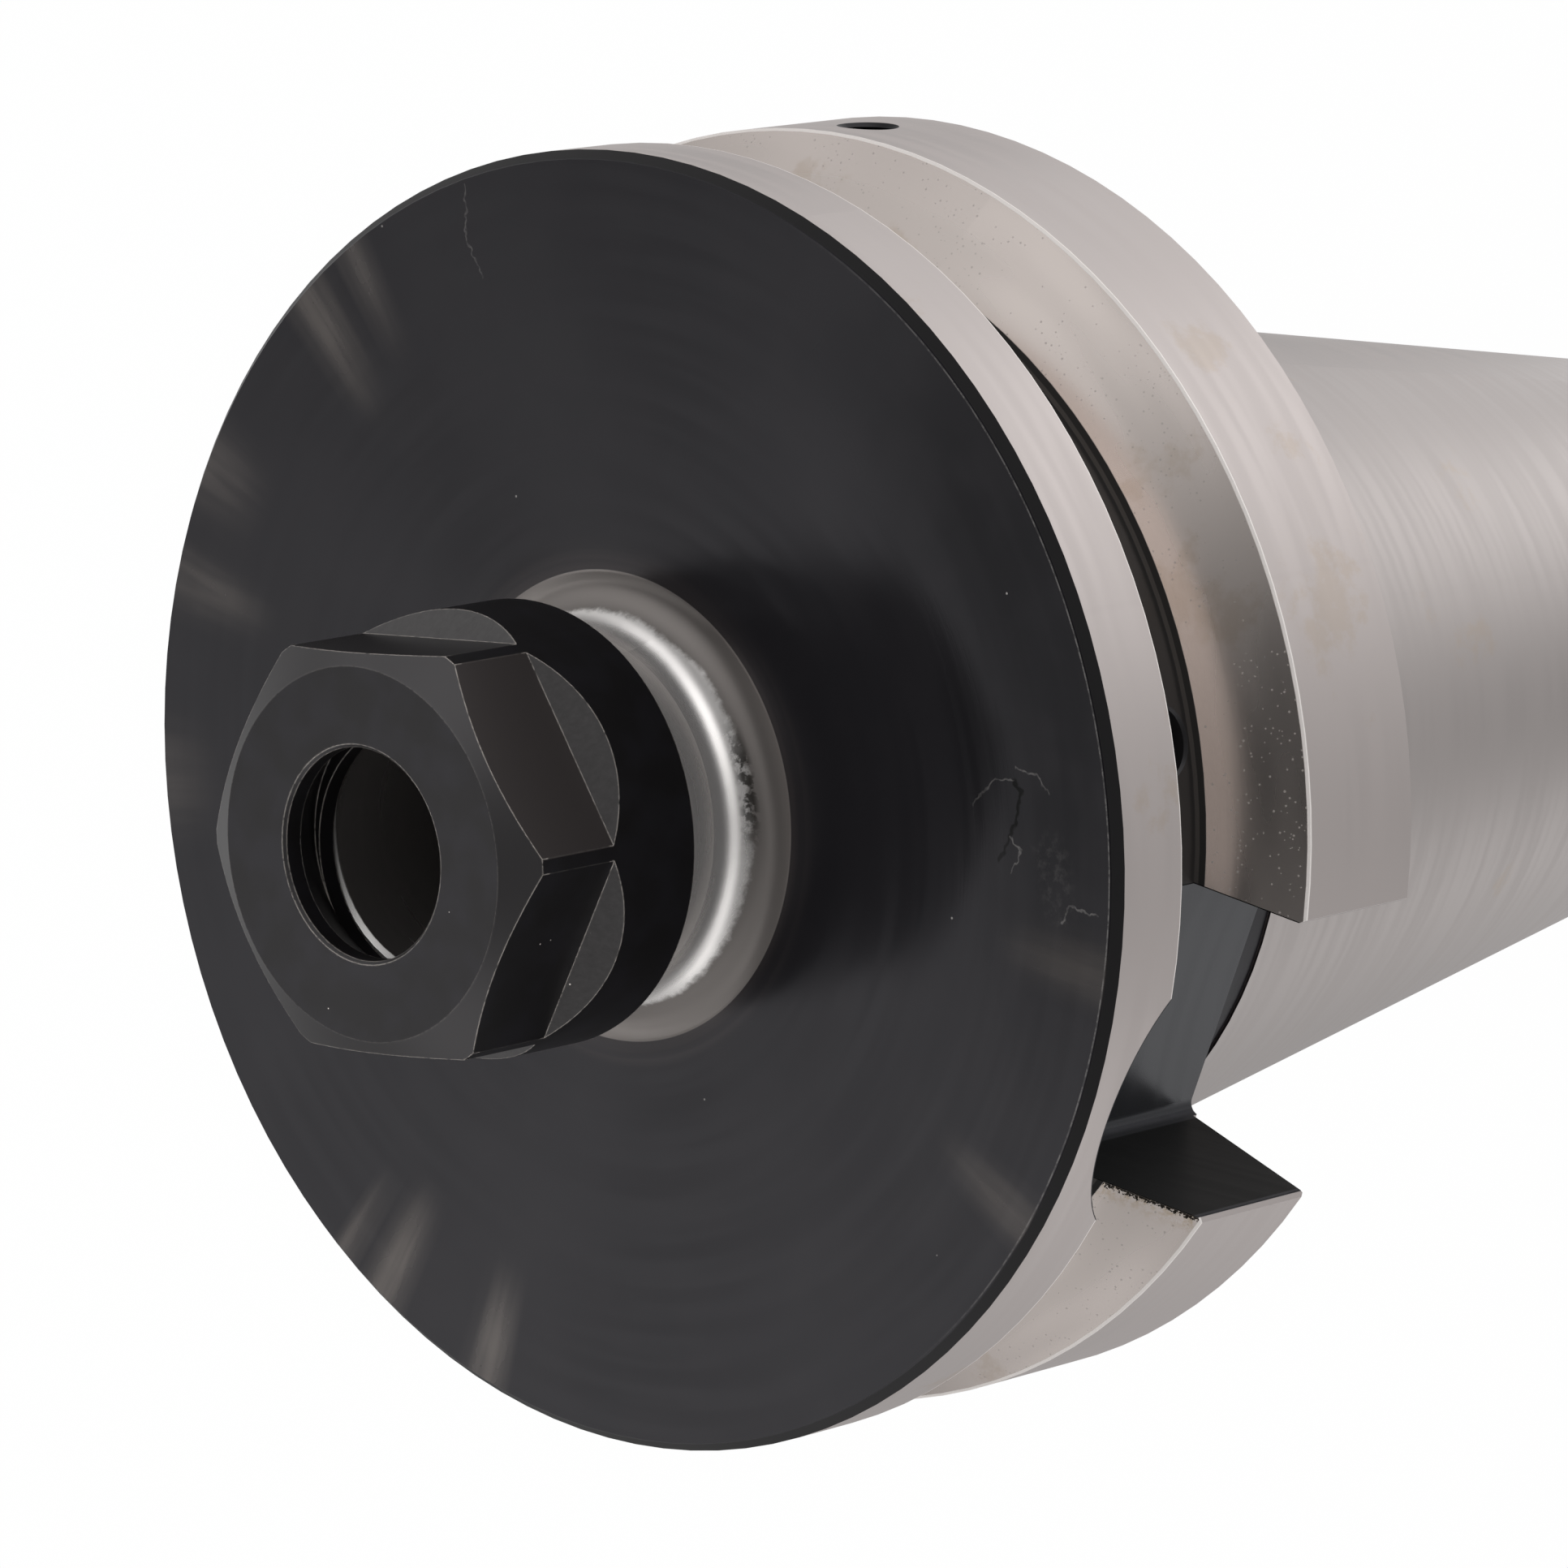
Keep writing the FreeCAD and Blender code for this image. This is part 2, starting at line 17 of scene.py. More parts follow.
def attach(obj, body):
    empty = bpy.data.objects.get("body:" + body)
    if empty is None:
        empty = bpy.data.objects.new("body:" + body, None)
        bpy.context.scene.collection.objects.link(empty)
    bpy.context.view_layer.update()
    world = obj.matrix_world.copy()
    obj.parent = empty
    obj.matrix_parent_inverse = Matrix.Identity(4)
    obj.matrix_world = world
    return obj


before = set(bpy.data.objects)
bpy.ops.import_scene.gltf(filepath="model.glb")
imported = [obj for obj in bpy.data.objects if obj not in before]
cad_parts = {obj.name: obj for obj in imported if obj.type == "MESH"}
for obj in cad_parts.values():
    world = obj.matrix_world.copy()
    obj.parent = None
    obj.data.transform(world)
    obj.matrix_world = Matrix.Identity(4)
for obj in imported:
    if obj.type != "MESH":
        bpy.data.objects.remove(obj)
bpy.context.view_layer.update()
MM = 0.001
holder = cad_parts["holder_body"]
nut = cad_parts["clamping_nut"]

# %% [markdown]
# The heights and radii that the finishes follow, in millimetres, and directions round the axis
# in degrees. A finish on a turned part begins and ends at a height or a radius, so these few
# numbers are enough to say where every surface lies.

# %% Places on the chuck
GAUGE, REAR_FACE, FLANGE_FACE = 101.8, 104.8, 139.8
GROOVE, GROOVE_BOTTOM, GROOVE_BLACK, GROOVE_TOP = 125.0, 3.17, 3.58, 7.5
NECK_FINISH, NOSE, NOSE_ROOT = 18.15, 160.2, 11.6
SLOT_HALF, SLOT_FLOOR, SLOT_CENTRE, SLOT_REAR, SLOT_FRONT = 12.85, 35.4, 123.8, 104.0, 137.5
RIM_HOLE_TURN, RIM_HOLE_HEIGHT, RIM_HOLE_MOUTH = 20.4, 112.2, 4.86
GROOVE_HOLE_TURN, GROOVE_HOLE_HEIGHT, GROOVE_HOLE_MOUTH = -57.6, 125.0, 6.06
HOLES_FROM, BORE_REACH, KNOB_HOLE_REACH, KNOB_HOLE_END = 30.0, 10.6, 13.4, 60.0
NUT_STEP, NUT_FRONT, NUT_FACE, NUT_FLAT = 157.884, 167.164, 14.05, 15.0
print("flange from", REAR_FACE, "to", FLANGE_FACE, "mm, nut up to", NUT_FRONT, "mm")

# %% [markdown]
# The camera stands where the photographer's did. A long lens about 0.7 m from the flange gives
# the slight perspective of the picture, and the camera is rolled almost onto its side, because
# the photograph shows the chuck lying down while the part is kept standing up.

# %% Camera
camera_data = bpy.data.cameras.new("camera")
camera = bpy.data.objects.new("camera", camera_data)
bpy.context.collection.objects.link(camera)
right = Vector((0.27615547, -0.6888253, -0.67026701))
up = Vector((0.87029583, 0.47513847, -0.12972507))
back = right.cross(up)
camera.matrix_world = Matrix.Translation(Vector((274.604, -370.013, 613.892)) * MM) @ Matrix(
    (right, up, back)).transposed().to_4x4()
camera_data.lens, camera_data.sensor_width = 199.18, 36.0
camera_data.clip_start, camera_data.clip_end = 0.05, 20.0
bpy.context.scene.camera = camera
print("camera looks along", [round(c, 3) for c in -back])

# %% [markdown]
# Writing a node tree by hand takes four lines a node. This small class takes one: every call
# adds a node, sets it up, plugs in numbers or other nodes' outputs, and gives back the output.


# %% A short way to write node trees
class Nodes:
    """Adds nodes to one tree."""

    def __init__(self, tree):
        self.tree = tree

    def node(self, kind, inputs=None, **settings):
        new = self.tree.nodes.new(f"ShaderNode{kind}")
        for name, value in settings.items():
            setattr(new, name, value)
        for name, value in (inputs or {}).items():
            if isinstance(value, bpy.types.NodeSocket):
                self.tree.links.new(value, new.inputs[name])
            else:
                new.inputs[name].default_value = value
        return new

    def math(self, operation, *values, clamp=False):
        return self.node("Math", dict(enumerate(values)), operation=operation,
                         use_clamp=clamp).outputs[0]

    def add(self, a, b):
        return self.math("ADD", a, b)

    def times(self, *values):
        result = values[0]
        for value in values[1:]:
            result = self.math("MULTIPLY", result, value)
        return result

    def ramp(self, value, low, high, start=0.0, end=1.0):
        """start below low, end above high, and a smooth step between."""
        return self.node("MapRange", {0: value, 1: low, 2: high, 3: start, 4: end},
                         interpolation_type="SMOOTHSTEP").outputs[0]

    def above(self, value, edge, blur=0.06):
        return self.ramp(value, edge - blur / 2, edge + blur / 2)

    def below(self, value, edge, blur=0.06):
        return self.ramp(value, edge - blur / 2, edge + blur / 2, 1.0, 0.0)

    def band(self, value, low, high, blur=0.06):
        return self.times(self.above(value, low, blur), self.below(value, high, blur))

    def length(self, *values):
        squares = [self.times(value, value) for value in values]
        return self.math("SQRT", self.add(*squares))

    def colour(self, factor, a, b):
        return self.node("Mix", {0: factor, 6: a, 7: b}, data_type="RGBA").outputs[2]

    def value(self, factor, a, b):
        return self.node("Mix", {0: factor, 2: a, 3: b}, data_type="FLOAT").outputs[0]

    def vector(self, x, y, z):
        return self.node("CombineXYZ", {0: x, 1: y, 2: z}).outputs[0]

    def noise(self, vector, scale, detail=2.0, roughness=0.5):
        return self.node("TexNoise", {"Vector": vector, "Scale": scale, "Detail": detail,
                                      "Roughness": roughness}).outputs[0]

    def group(self, group, inputs=None):
        return self.node("Group", inputs, node_tree=group).outputs

    def outward(self, x, y, turn):
        """How far a point lies out from the axis in one direction, given in degrees."""
        angle = math.radians(turn)
        return self.add(self.times(x, math.cos(angle)), self.times(y, math.sin(angle)))

    def round_ramp(self, turn, rows):
        """Colours all round the axis; a row holds a direction in degrees and its colour."""
        share = self.node("MapRange", {0: turn, 1: -math.pi, 2: math.pi}).outputs[0]
        ramp = self.node("ValToRGB", {0: share})
        ramp.color_ramp.interpolation = "EASE"
        stops = ramp.color_ramp.elements
        for index, (direction, *paint) in enumerate(rows):
            stop = stops[index] if index < 2 else stops.new(1.0)
            stop.position, stop.color = (direction + 180) / 360, (*paint, 1.0)
        return ramp.outputs[0]


# %% [markdown]
# Three helpers start and end a group or a material. A group holds one effect, with numbers to
# set it by, so each material can use it in its own way. A material starts empty, so all that
# it does can be read here.


# %% Groups and materials
def new_group(name, inputs, outputs):
    """A shader group with number inputs; gives its tree, its writer and its input sockets."""
    tree = bpy.data.node_groups.new(name, "ShaderNodeTree")
    for label, default in inputs.items():
        tree.interface.new_socket(label, in_out="INPUT",
                                  socket_type="NodeSocketFloat").default_value = default
    for label, kind in outputs.items():
        tree.interface.new_socket(label, in_out="OUTPUT", socket_type=f"NodeSocket{kind}")
    return tree, Nodes(tree), tree.nodes.new("NodeGroupInput").outputs


def finish_group(tree, results):
    end = tree.nodes.new("NodeGroupOutput")
    for label, socket in results.items():
        tree.links.new(socket, end.inputs[label])


def new_material(name):
    """An empty material: gives it, its writer and its output node."""
    material = bpy.data.materials.new(name)
    material.use_nodes = True
    material.node_tree.nodes.clear()
    writer = Nodes(material.node_tree)
    return material, writer, writer.node("OutputMaterial")


# %% [markdown]
# Every finish asks the same question: where on the chuck is this point? The first group
# answers it in millimetres: across, along, its radius from the tool axis, its height, and its
# run, which grows along the turned outline and so crosses every turning mark. Turn is its
# direction round the axis, in radians.

# %% Group: place on the part
place_group, n, _ = new_group("Place on the part", {}, {
    "Across": "Float", "Along": "Float", "Height": "Float", "Radius": "Float", "Run": "Float",
    "Turn": "Float", "Point": "Vector"})
object_point = n.node("TexCoord").outputs["Object"]
point = n.node("VectorMath", {0: object_point, 3: 1 / MM}, operation="SCALE").outputs[0]
across, along, height = n.node("SeparateXYZ", {0: point}).outputs
radius = n.length(across, along)
finish_group(place_group, {
    "Across": across, "Along": along, "Height": height, "Radius": radius,
    "Run": n.add(radius, height), "Turn": n.math("ARCTAN2", along, across), "Point": point})
print("group", place_group.name)

# %% [markdown]
# A lathe or a grinder leaves marks that run round the axis. They show as fine lines across the
# run and change slowly round the part. A noise squeezed hard along the run gives them: one
# output for height, for the bump, and one for the slow difference in gloss between passes.

# %% Group: turning marks
marks_group, n, ask = new_group("Turning marks", {"Per mm": 10.0, "Sweep": 0.05}, {
    "Fine": "Float", "Passes": "Float"})
place = n.group(place_group)
sweep_x, sweep_y = (n.times(place[axis], ask["Sweep"]) for axis in ("Across", "Along"))
fine = n.noise(n.vector(sweep_x, sweep_y, n.times(place["Run"], ask["Per mm"])), 1.0, 1.0, 0.6)
passes = n.noise(n.vector(sweep_x, sweep_y, n.times(place["Run"], ask["Per mm"], 0.08)), 1.0, 1.0)
finish_group(marks_group, {"Fine": fine, "Passes": passes})
print("group", marks_group.name)

# %% [markdown]
# Handling wears blackened steel first where two faces meet. A Bevel node looks round each point
# and says how the surface would face if the edge were rounded, so where that differs from the
# real normal there is an edge. Noise breaks the line up, as real wear does.

# %% Group: edge wear
wear_group, n, ask = new_group("Edge wear", {"Width mm": 0.2, "Amount": 0.5, "Patch size": 0.6}, {
    "Mask": "Float"})
place = n.group(place_group)
true_normal = n.node("NewGeometry").outputs["Normal"]
rounded = n.node("Bevel", {"Radius": n.times(ask["Width mm"], MM)}, samples=2).outputs[0]
agreement = n.node("VectorMath", {0: rounded, 1: true_normal}, operation="DOT_PRODUCT").outputs[1]
edge = n.ramp(agreement, 0.86, 0.995, 1.0, 0.0)
breaks = n.noise(place["Point"], n.math("DIVIDE", 1.0, ask["Patch size"]), 4.0, 0.65)
worn = n.ramp(n.add(breaks, ask["Amount"]), 0.85, 1.1)
finish_group(wear_group, {"Mask": n.times(edge, worn)})
print("group", wear_group.name)

# %% [markdown]
# The holder is one piece of steel with many finishes, and each begins at a height. The shank, both rims
# and the walls of the gripper groove are ground bright; the rest of the flange was blackened after
# turning. The thin pale rows where the rims meet the groove walls are a painted highlight, and the
# near-black rows low on the groove walls, where they meet the groove bottom, are painted shade. The rows
# below lay them out; each covers what lies above its start.

# %% Finishes of the holder, from the small end up: start, colour, roughness, metal share
GROUND, POLISHED, BLACK = (0.49, 0.445, 0.432), (0.60, 0.54, 0.508), (0.024, 0.0229, 0.0262)
# The second colour on the next line is a painted highlight: the thin pale line where each rim meets a
# wall of the groove.
SHANK, RIM_EDGE_HIGHLIGHT = (0.41, 0.374, 0.363), (0.90, 0.85, 0.82)
HOLDER_FINISHES = [
    (GAUGE + 0.05, BLACK, 0.40, 0.5),
    (REAR_FACE + 0.03, GROUND, 0.36, 1.0),
    (GROOVE - GROOVE_TOP - 0.14, RIM_EDGE_HIGHLIGHT, 0.40, 0.3),
    (GROOVE - GROOVE_TOP + 0.12, POLISHED, 0.27, 1.0),
    # painted shade: a near-black band low on the rear groove wall, where it meets the bottom
    (GROOVE - GROOVE_BLACK, (0.006, 0.006, 0.006), 0.40, 0.2),
    (GROOVE - GROOVE_BOTTOM - 0.16, (0.050, 0.047, 0.045), 0.34, 0.6),
    (GROOVE - GROOVE_BOTTOM + 0.06, (0.032, 0.029, 0.028), 0.34, 0.5),
    # painted shade: a near-black band low on the front groove wall, where it meets the bottom
    (GROOVE + GROOVE_BOTTOM + 0.16, (0.006, 0.006, 0.006), 0.40, 0.2),
    (GROOVE + GROOVE_BLACK, POLISHED, 0.27, 1.0),
    (GROOVE + GROOVE_TOP - 0.05, RIM_EDGE_HIGHLIGHT, 0.40, 0.35),
    (GROOVE + GROOVE_TOP + 0.08, GROUND, 0.36, 1.0),
    (FLANGE_FACE - 0.80, (0.022, 0.021, 0.022), 0.36, 0.5),
    (FLANGE_FACE - 0.06, BLACK, 0.19, 0.5),
]
print("finishes of the holder:", len(HOLDER_FINISHES) + 1)

# %% [markdown]
# Bright steel that has lain about gets small pits, and handling leaves tan stains. Pits are
# single points, so a cell noise gives one round spot to a cell, and a slow noise keeps them in
# clusters. A pit is dull: it looks pale where the steel mirrors dark and dark where it mirrors
# light. Stains are wide soft clouds that a second slow noise cuts off.

# %% Group: pits and stains
spots_group, n, ask = new_group("Pits and stains", {"Cell mm": 1.2, "Clusters": 0.5,
                                                    "Stain from": 0.62}, {
    "Pits": "Float", "Stain": "Float"})
point = n.group(place_group)["Point"]
cells = n.node("TexVoronoi", {"Vector": point, "Scale": n.math("DIVIDE", 1.0, ask["Cell mm"])})
chance = n.node("SeparateColor", {0: cells.outputs["Color"]}).outputs
crowd = n.ramp(n.noise(point, 0.13, 3.0, 0.6), 0.40, 0.60, 0.15, 1.0)
kept = n.math("LESS_THAN", chance[0], n.times(crowd, ask["Clusters"]))
size = n.value(chance[1], 0.12, 0.29)
pits = n.times(kept, n.ramp(n.math("DIVIDE", cells.outputs["Distance"], size), 0.45, 1.0, 1.0, 0.0))
cloud = n.add(n.times(n.noise(point, 0.07, 2.0), 0.8), n.times(n.noise(point, 0.6, 4.0, 0.65), 0.2))
stain = n.ramp(cloud, ask["Stain from"], n.add(ask["Stain from"], 0.06))
finish_group(spots_group, {"Pits": pits, "Stain": stain})
print("group", spots_group.name)

# %% [markdown]
# The holder's material asks where a point lies and goes through the rows, each painted over
# the last from its own height on. Roughness and metal share travel together in one colour, so
# a row costs two mixes. The same places give the masks for the face, the neck, the key slots,
# the bores and the radial holes, which the next cells paint.

# %% Holder material: finishes and masks
steel, n, output = new_material("holder steel")
place = n.group(place_group)
x, y, z, r, turn = (place[axis] for axis in ("Across", "Along", "Height", "Radius", "Turn"))
point = place["Point"]
marks = n.group(marks_group, {"Per mm": 9.0})
colour, gloss = (*SHANK, 1.0), (0.36, 1.0, 0.0, 1.0)
for start, paint, roughness, share in HOLDER_FINISHES:
    past = n.above(z, start, 0.04)
    colour = n.colour(past, colour, (*paint, 1.0))
    gloss = n.colour(past, gloss, (roughness, share, 0.0, 1.0))
rough, metal, _ = n.node("SeparateColor", {0: gloss}).outputs
from_face = n.above(z, FLANGE_FACE - 0.05, 0.02)
on_face = n.times(from_face, n.above(r, NECK_FINISH, 0.1))
on_neck = n.times(from_face, n.below(r, NECK_FINISH, 0.1))
past_centre = n.math("MAXIMUM", n.math("SUBTRACT", z, SLOT_CENTRE), 0.0)
slot_distance = n.math("SUBTRACT", n.length(x, past_centre), SLOT_HALF)
slot_side = n.times(n.above(n.math("ABSOLUTE", y), SLOT_FLOOR - 0.1), n.band(z, SLOT_REAR, SLOT_FRONT))
in_slot = n.times(slot_side, n.below(slot_distance, 0.08, 0.04))
in_bore = n.math("MAXIMUM", n.below(r, BORE_REACH, 0.02),
                 n.times(n.below(r, KNOB_HOLE_REACH), n.below(z, KNOB_HOLE_END)))


def round_hole(turn, height, mouth):
    """1 inside a hole that points at the axis."""
    distance = n.length(n.outward(x, y, turn + 90), n.math("SUBTRACT", z, height))
    return n.times(n.below(distance, mouth / 2, 0.04), n.above(n.outward(x, y, turn), HOLES_FROM))


in_holes = n.math("MAXIMUM", round_hole(RIM_HOLE_TURN, RIM_HOLE_HEIGHT, RIM_HOLE_MOUTH),
                  round_hole(GROOVE_HOLE_TURN, GROOVE_HOLE_HEIGHT, GROOVE_HOLE_MOUTH))
bright = n.times(n.above(metal, 0.9, 0.1), n.math("SUBTRACT", 1.0, in_slot),
                 n.math("SUBTRACT", 1.0, in_holes))
in_groove = n.times(bright, n.band(z, GROOVE - GROOVE_TOP, GROOVE + GROOVE_TOP))
print("holder material,", len(n.tree.nodes), "nodes so far")

# %% [markdown]
# The black front face is polished smooth. Toward the rim it carries painted highlights: fans of pale rays
# that lie straight outward, painted in the colour where the turned face catches the light. Each row
# places one by its direction, half its angle, the radius where it begins and how much it shows. One ramp
# round the face holds them all: its red says how strong, its green where they begin.

# %% Holder material: painted highlight fans on the face
HIGHLIGHT_FANS = [(-174.7, 2.2, 38, 0.9), (-100.7, 2.0, 38, 0.6), (-76.0, 2.6, 38, 1.0), (56.5, 1.8, 38, 0.6),
            (63.5, 2.6, 36, 0.85), (85, 4.0, 41, 0.6), (96.5, 2.8, 37, 0.55), (116, 5.0, 42, 0.4),
            (165, 1.3, 39, 0.7), (171, 2.2, 37, 1.0)]
FAN_SPREAD, START_SCALE, FAN_RISE = 1.5, 50.0, 9.0
rows = [(centre + side * half * FAN_SPREAD, strength if side == 0 else 0.0,
         start / START_SCALE, 0.0)
        for centre, half, start, strength in HIGHLIGHT_FANS for side in (-1, 0, 1)]
strong, begins, _ = n.node("SeparateColor", {0: n.round_ramp(turn, rows)}).outputs
past_start = n.math("SUBTRACT", r, n.times(begins, START_SCALE))
highlight_fans = n.times(strong, n.ramp(past_start, 0.0, FAN_RISE))
ray = n.vector(n.math("COSINE", turn), n.math("SINE", turn), n.times(r, 0.002))
fine_rays = n.noise(ray, 40.0, 2.0)
highlight_fans = n.times(on_face, highlight_fans, n.ramp(fine_rays, 0.3, 0.65, 0.55, 1.0))
# painted highlight: pale fans on the black face where its turned surface catches the light
colour = n.colour(highlight_fans, colour, (0.150, 0.134, 0.125, 1.0))
rough = n.value(highlight_fans, rough, 0.36)
print("feathers on the face:", len(HIGHLIGHT_FANS))

# %% [markdown]
# A few marks were made by accident and run any way: a crack in the coating, a smear of oil and
# the fine curls at its end. They are drawn on the flat face as lines through points, read off
# the photograph in millimetres, and a little noise keeps them from looking ruled.

# %% Holder material: two helpers that draw on the face
jitter = n.node("TexNoise", {"Vector": point, "Scale": 1.6, "Detail": 1.0}).outputs["Color"]
jitter = n.node("VectorMath", {0: jitter, 1: (-0.5, -0.5, -0.5)}, operation="ADD").outputs[0]
jitter = n.node("VectorMath", {0: jitter, 1: (0.7, 0.7, 0.0)}, operation="MULTIPLY").outputs[0]
flat = n.node("VectorMath", {0: n.vector(x, y, 0.0), 1: jitter}, operation="ADD").outputs[0]


def near_line(points, width):
    """1 within a width of the line through some points on the face, fading at its edge."""
    nearest = None
    for start, end in zip(points, points[1:]):
        first, step = Vector((*start, 0.0)), Vector((*end, 0.0)) - Vector((*start, 0.0))
        offset = n.node("VectorMath", {0: flat, 1: first}, operation="SUBTRACT").outputs[0]
        share = n.node("VectorMath", {0: offset, 1: step / step.length_squared},
                       operation="DOT_PRODUCT").outputs[1]
        reach = n.node("VectorMath", {0: step, 3: n.math("ADD", share, 0.0, clamp=True)},
                       operation="SCALE").outputs[0]
        distance = n.node("VectorMath", {0: offset, 1: reach}, operation="DISTANCE").outputs[1]
        nearest = distance if nearest is None else n.math("MINIMUM", nearest, distance)
    return n.times(on_face, n.ramp(nearest, width * 0.3, width, 1.0, 0.0))


def inside(corners, blur):
    """1 inside a convex outline on the face, given clockwise."""
    mask = on_face
    for start, end in zip(corners, corners[1:] + corners[:1]):
        outward = (Vector(end) - Vector(start)).orthogonal().normalized()
        depth = n.node("VectorMath", {0: flat, 1: (*outward, 0.0)}, operation="DOT_PRODUCT").outputs[1]
        mask = n.times(mask, n.below(depth, outward.dot(Vector(start)), blur))
    return mask


# %% [markdown]
# The dark marks come first: a darker, glossier patch over the outer part of the face on one side, the
# smear and one curl. Where the coating is scratched through, the steel below is pale, so all the pale
# lines, the worn edge of the face and the loose specks are gathered in one mask and painted together.

# %% Holder material: the smear, the curls, the crack and specks
patchy = n.noise(point, 1.4, 3.0, 0.7)
smear = inside([(16.6, -22.5), (15.5, -30.8), (21.3, -33.5), (22.6, -32.7), (21.4, -27.9), (18.0, -22.0)],
               1.0)
dark_glossy_patch = n.times(on_face, n.ramp(r, 32.0, 45.0), n.band(turn, -1.40, -0.25, 0.7))
colour = n.colour(dark_glossy_patch, colour, (0.014, 0.0134, 0.0152, 1.0))
metal = n.value(dark_glossy_patch, metal, 0.75)
colour = n.colour(n.times(smear, 0.95), colour, (0.002, 0.0012, 0.0008, 1.0))
metal = n.value(smear, metal, 0.95)
dark_curl = near_line([(21.3, -34.5), (20.7, -35.6), (18.3, -36.0), (15.0, -35.7)], 0.24)
colour = n.colour(dark_curl, colour, (0.002, 0.002, 0.002, 1.0))
haze = near_line([(17.9, -39.8), (14.6, -42.0)], 2.2)
light = n.times(haze, n.ramp(patchy, 0.45, 0.75, 0.0, 0.07))
for points, width in (
        ([(37.4, 31.7), (36.0, 31.0), (33.5, 30.0), (31.6, 27.3)], 0.12),
        ([(17.5, -31.8), (20.2, -32.9), (21.3, -34.5)], 0.12),
        ([(14.6, -37.0), (16.7, -37.3), (17.1, -36.0)], 0.11),
        ([(22.1, -34.5), (22.6, -36.4), (21.7, -38.0)], 0.10),
        ([(13.7, -42.8), (15.1, -42.8), (15.7, -45.4)], 0.12)):
    line = n.times(near_line(points, width), n.ramp(patchy, 0.35, 0.6, 0.08, 0.32))
    light = n.math("MAXIMUM", light, line)
edge_line = n.times(on_face, n.band(r, 49.12, 49.24, 0.06), n.band(turn, -1.9, -0.2, 0.5),
                    n.ramp(patchy, 0.4, 0.6, 0.1, 0.4))
light = n.math("MAXIMUM", light, edge_line)
specks = n.node("TexVoronoi", {"Vector": point, "Scale": 0.24})
few = n.math("LESS_THAN", n.node("SeparateColor", {0: specks.outputs["Color"]}).outputs[0], 0.30)
light = n.math("MAXIMUM", light, n.times(on_face, few, n.below(specks.outputs["Distance"], 0.022, 0.01)))
colour = n.colour(light, colour, (0.30, 0.285, 0.275, 1.0))
print("holder material,", len(n.tree.nodes), "nodes so far")

# %% [markdown]
# The neck between the face and the nut was left bright when the rest was blackened. Its inner
# part is satin; outside a ragged line the blackening has crept onto it as a brown film. Turned
# rings show in the black face close to the neck.

# %% Holder material: the face near the neck, and the neck
rings =n.noise(n.vector(n.times(x, 0.03), n.times(y, 0.03), n.times(r, 1.6)), 1.0, 1.0)
near_neck = n.times(on_face, n.ramp(r, NECK_FINISH, 21.0, 1.0, 0.0), n.ramp(rings, 0.3, 0.7, 0.3, 1.0))
colour = n.colour(n.times(near_neck, 0.35), colour, (0.09, 0.076, 0.074, 1.0))
slow = n.noise(point, 0.16, 2.0)
colour = n.colour(n.times(on_face, n.ramp(slow, 0.35, 0.7, 0.0, 0.22)), colour,
                  (0.032, 0.030, 0.033, 1.0))
mottle = n.add(n.times(n.math("SUBTRACT", slow, 0.5), 1.0),
               n.times(n.math("SUBTRACT", n.noise(point, 1.1, 4.0, 0.7), 0.5), 0.7))
outer_neck = n.ramp(n.add(r, mottle), 14.9, 15.4)
neck_colour = n.colour(outer_neck, (0.93, 0.90, 0.88, 1.0), (0.26, 0.238, 0.226, 1.0))
colour = n.colour(on_neck, colour, neck_colour)
blots = n.times(on_neck, n.band(r, 14.8, 15.6, 0.5), n.band(turn, -1.20, -0.70, 0.3),
                n.ramp(n.noise(point, 0.9, 3.0, 0.7), 0.42, 0.54))
colour = n.colour(n.times(blots, 0.9), colour, (0.05, 0.045, 0.04, 1.0))
rough = n.value(on_neck, rough, n.value(outer_neck, 0.25, 0.38))
metal = n.value(on_neck, metal, n.value(outer_neck, 0.8, 0.72))
print("holder material,", len(n.tree.nodes), "nodes so far")

# %% [markdown]
# The key slots were milled and then blackened: their floors are smoother than their walls. Each wall is
# painted a little paler close to the floor and to the rim, a painted highlight for the rounded corner and
# the chamfer that catch the light there. The collet pocket has a bright ground mouth, and the radial
# holes are dark inside.

# %% Holder material: slots, bores and holes
from_floor = n.math("SUBTRACT", n.math("ABSOLUTE", y), SLOT_FLOOR)
slot_floor = n.below(from_floor, 0.3, 0.2)
# painted highlight: paler strips on each slot wall along the floor and along the rim
slot_wall_highlight = n.math("MAXIMUM", n.below(from_floor, 1.3, 0.1), n.above(r, 49.3, 0.1))
slot_wall = n.colour(slot_wall_highlight, (0.006, 0.006, 0.006, 1.0), (0.034, 0.034, 0.038, 1.0))
slot_colour = n.colour(slot_floor, slot_wall, (0.046, 0.047, 0.052, 1.0))
colour = n.colour(in_slot, colour, slot_colour)
rough = n.value(in_slot, rough, n.value(slot_floor, 0.4, 0.22))
metal = n.value(in_slot, metal, n.value(slot_floor, 1.0, 0.5))
mouth = n.times(in_bore, n.above(z, NOSE - 0.38))
colour = n.colour(in_bore, colour, (0.30, 0.28, 0.27, 1.0))
colour = n.colour(mouth, colour, (0.92, 0.90, 0.88, 1.0))
colour = n.colour(in_holes, colour, (0.035, 0.034, 0.036, 1.0))
metal = n.value(in_bore, metal, 0.8)
print("holder material,", len(n.tree.nodes), "nodes so far")

# %% [markdown]
# Next come the marks of use: pits on the walls of the gripper groove, where the arm of the
# tool changer grips, tan stains on the bright surfaces, and chips along the edge of the slot.

